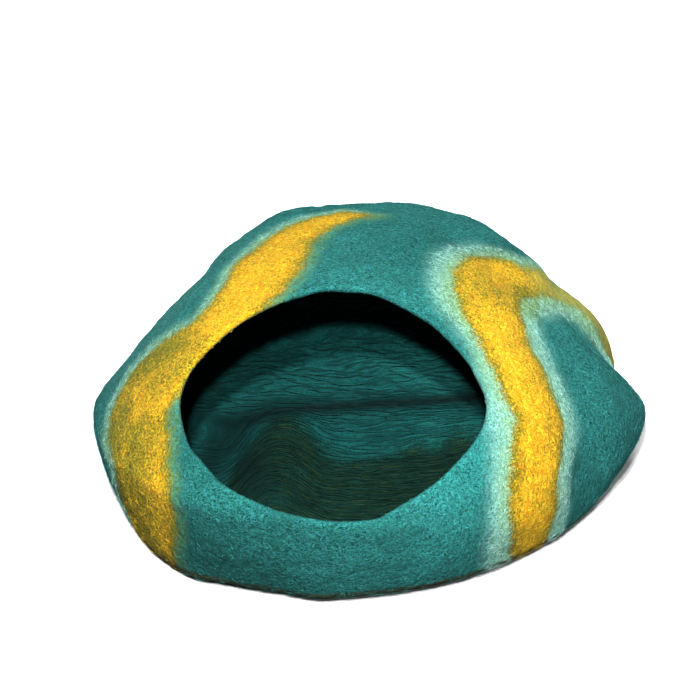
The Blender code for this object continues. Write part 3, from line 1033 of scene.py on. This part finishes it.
def fuzz_material(fuzz):
    nodes = Nodes(fuzz.name + "_wool")
    shade = nodes.span(nodes.noise(nodes.place(), FUZZ_SHADES), FUZZ_SPAN)
    nodes.feed(nodes.shader.inputs["Base Color"], nodes.wool(shade, fuzz.wool))
    nodes.shader.inputs["Roughness"].default_value = 0.9
    nodes.shader.inputs["Specular IOR Level"].default_value = 0.1
    return nodes.material


def add_fuzz(skin):
    pieces = []
    for fuzz in FUZZ:
        piece = bpy.data.objects.new(fuzz.name, fibre_mesh(skin, fuzz))
        piece.data.materials.append(fuzz_material(fuzz))
        bpy.context.scene.collection.objects.link(piece)
        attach(piece, "root")
        pieces.append(piece)
    return pieces


# ---------------------------------------------------------------- stage, light and camera
VIEW_GAMMA = 0.8
FLOOR_SIZE = 200.0
FLOOR_WHITE = (0.90, 0.90, 0.90, 1)
WHITE = (1, 1, 1, 1)
WORLD_STRENGTH = 0.04
CAMERA_AIM = (-0.0193, 0.0149, 0.103)
CAMERA_ELEVATION = 29.0
CAMERA_DISTANCE = 1.11
CAMERA_LENS = 67.0
CAMERA_SENSOR = 36.0
KEY_SIZE = 0.04
# The keys stand beside and above the camera, the lamps at fixed places, and all point at CAMERA_AIM.
Key = namedtuple("Key", "name sideways rise power")
KEYS = [
    Key("low key", -0.03, 0.13, 14.5),
    Key("high key", -0.05, 0.27, 17.0),
]
Lamp = namedtuple("Lamp", "name place size power")
LAMPS = [
    Lamp("right fill", (0.95, -0.70, 0.30), 0.30, 3.5),
    Lamp("back fill, left", (-0.90, 1.10, 0.55), 0.50, 6.0),
    Lamp("back fill, right", (0.90, 1.10, 0.55), 0.50, 6.0),
    Lamp("top", (0.0, 0.35, 1.6), 0.8, 13.0),
]


def floor_material():
    """White that also glows away from the pod, so that the ground runs into the white beyond."""
    nodes = Nodes("white_floor")
    nodes.shader.inputs["Base Color"].default_value = FLOOR_WHITE
    nodes.shader.inputs["Roughness"].default_value = 0.9
    distance = nodes.vector_math("LENGTH", nodes.place()).node.outputs["Value"]
    nodes.shader.inputs["Emission Color"].default_value = WHITE
    nodes.feed(nodes.shader.inputs["Emission Strength"], nodes.span(distance, GLOW_SPAN))
    return nodes.material


def add_floor():
    mesh = bpy.data.meshes.new("floor")
    half = FLOOR_SIZE / 2
    corners = [(-half, -half, 0), (half, -half, 0), (half, half, 0), (-half, half, 0)]
    mesh.from_pydata(corners, [], [(0, 1, 2, 3)])
    floor = bpy.data.objects.new("floor", mesh)
    floor.data.materials.append(floor_material())
    floor.visible_diffuse = False
    bpy.context.scene.collection.objects.link(floor)


def add_camera():
    tilt = math.radians(CAMERA_ELEVATION)
    data = bpy.data.cameras.new("camera")
    data.lens = CAMERA_LENS
    data.sensor_width = CAMERA_SENSOR
    camera = bpy.data.objects.new("camera", data)
    away = Vector((0, -math.cos(tilt), math.sin(tilt))) * CAMERA_DISTANCE
    camera.location = Vector(CAMERA_AIM) + away
    camera.rotation_euler = (math.radians(90 - CAMERA_ELEVATION), 0, 0)
    bpy.context.scene.collection.objects.link(camera)
    bpy.context.scene.camera = camera
    return camera


def add_area_light(name, place, size, power):
    data = bpy.data.lights.new(name, "AREA")
    data.shape = "DISK"
    data.size = size
    data.energy = power
    light = bpy.data.objects.new(name, data)
    light.location = place
    light.rotation_euler = (Vector(CAMERA_AIM) - Vector(place)).to_track_quat("-Z", "Y").to_euler()
    bpy.context.scene.collection.objects.link(light)


def add_lights(camera):
    for key in KEYS:
        place = camera.location + Vector((key.sideways, 0.0, key.rise))
        add_area_light(key.name, place, KEY_SIZE, key.power)
    for lamp in LAMPS:
        add_area_light(*lamp)
    world = bpy.context.scene.world or bpy.data.worlds.new("studio")
    bpy.context.scene.world = world
    world.use_nodes = True
    world.node_tree.nodes["Background"].inputs["Color"].default_value = WHITE
    world.node_tree.nodes["Background"].inputs["Strength"].default_value = WORLD_STRENGTH


def main():
    skin = skin_object("felt_skin")
    pod = skin.pod
    pod.data.materials.append(felt_material())
    fuzz = add_fuzz(skin)
    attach(pod, "root")
    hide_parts(NODE)

    add_floor()
    camera = add_camera()
    add_lights(camera)
    bpy.context.scene.view_settings.view_transform = "Standard"
    bpy.context.scene.view_settings.look = "None"
    bpy.context.scene.view_settings.gamma = VIEW_GAMMA


main()
